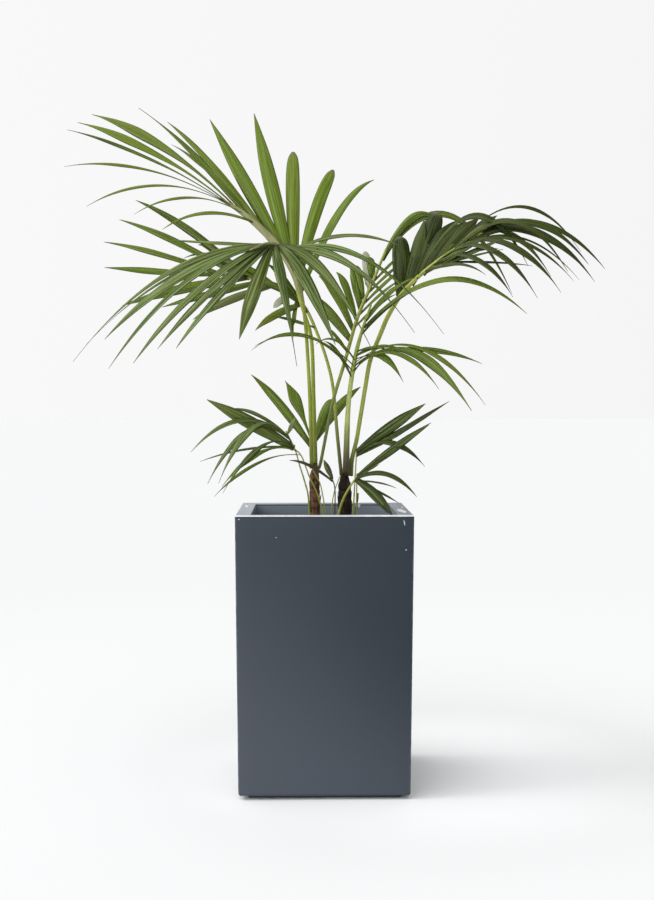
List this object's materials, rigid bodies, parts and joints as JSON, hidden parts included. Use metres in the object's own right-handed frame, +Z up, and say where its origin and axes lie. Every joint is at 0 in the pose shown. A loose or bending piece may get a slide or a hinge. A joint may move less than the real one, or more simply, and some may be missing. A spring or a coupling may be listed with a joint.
{
  "type": "potted palm",
  "caption": "Feather palm with arching fronds and small seedlings, growing from potting mix in a tall square tapered planter.",
  "frame": {"origin": "centre of the planter's foot, on the surface it stands on", "axes": "+Z up along the planter, -Y towards the front, +X to the right seen from the front"},
  "size_m": [1.0104, 0.5211, 1.2943],
  "materials": {
    "fibre_clay": "matte",
    "potting_mix": "matte",
    "trunk": "matte",
    "frond": "satin",
    "dry_leaf": "matte"
  },
  "bodies": {
    "root": {"planter": "fibre_clay", "potting_mix": "potting_mix", "trunk_left": "trunk", "trunk_right": "trunk", "old_stalk_stub": "dry_leaf", "frond_upper_left": "frond", "frond_front": "frond", "frond_left": "frond", "frond_back_right": "frond", "frond_middle": "frond", "frond_right": "frond", "seedling_left": "frond", "seedling_low_left": "frond", "seedling_back": "frond", "seedling_right": "frond", "seedling_low_right": "frond", "seedling_front": "frond", "withered_leaf": "dry_leaf", "bare_stem_left": "frond", "bare_stem_right": "frond"}
  },
  "joints": []
}
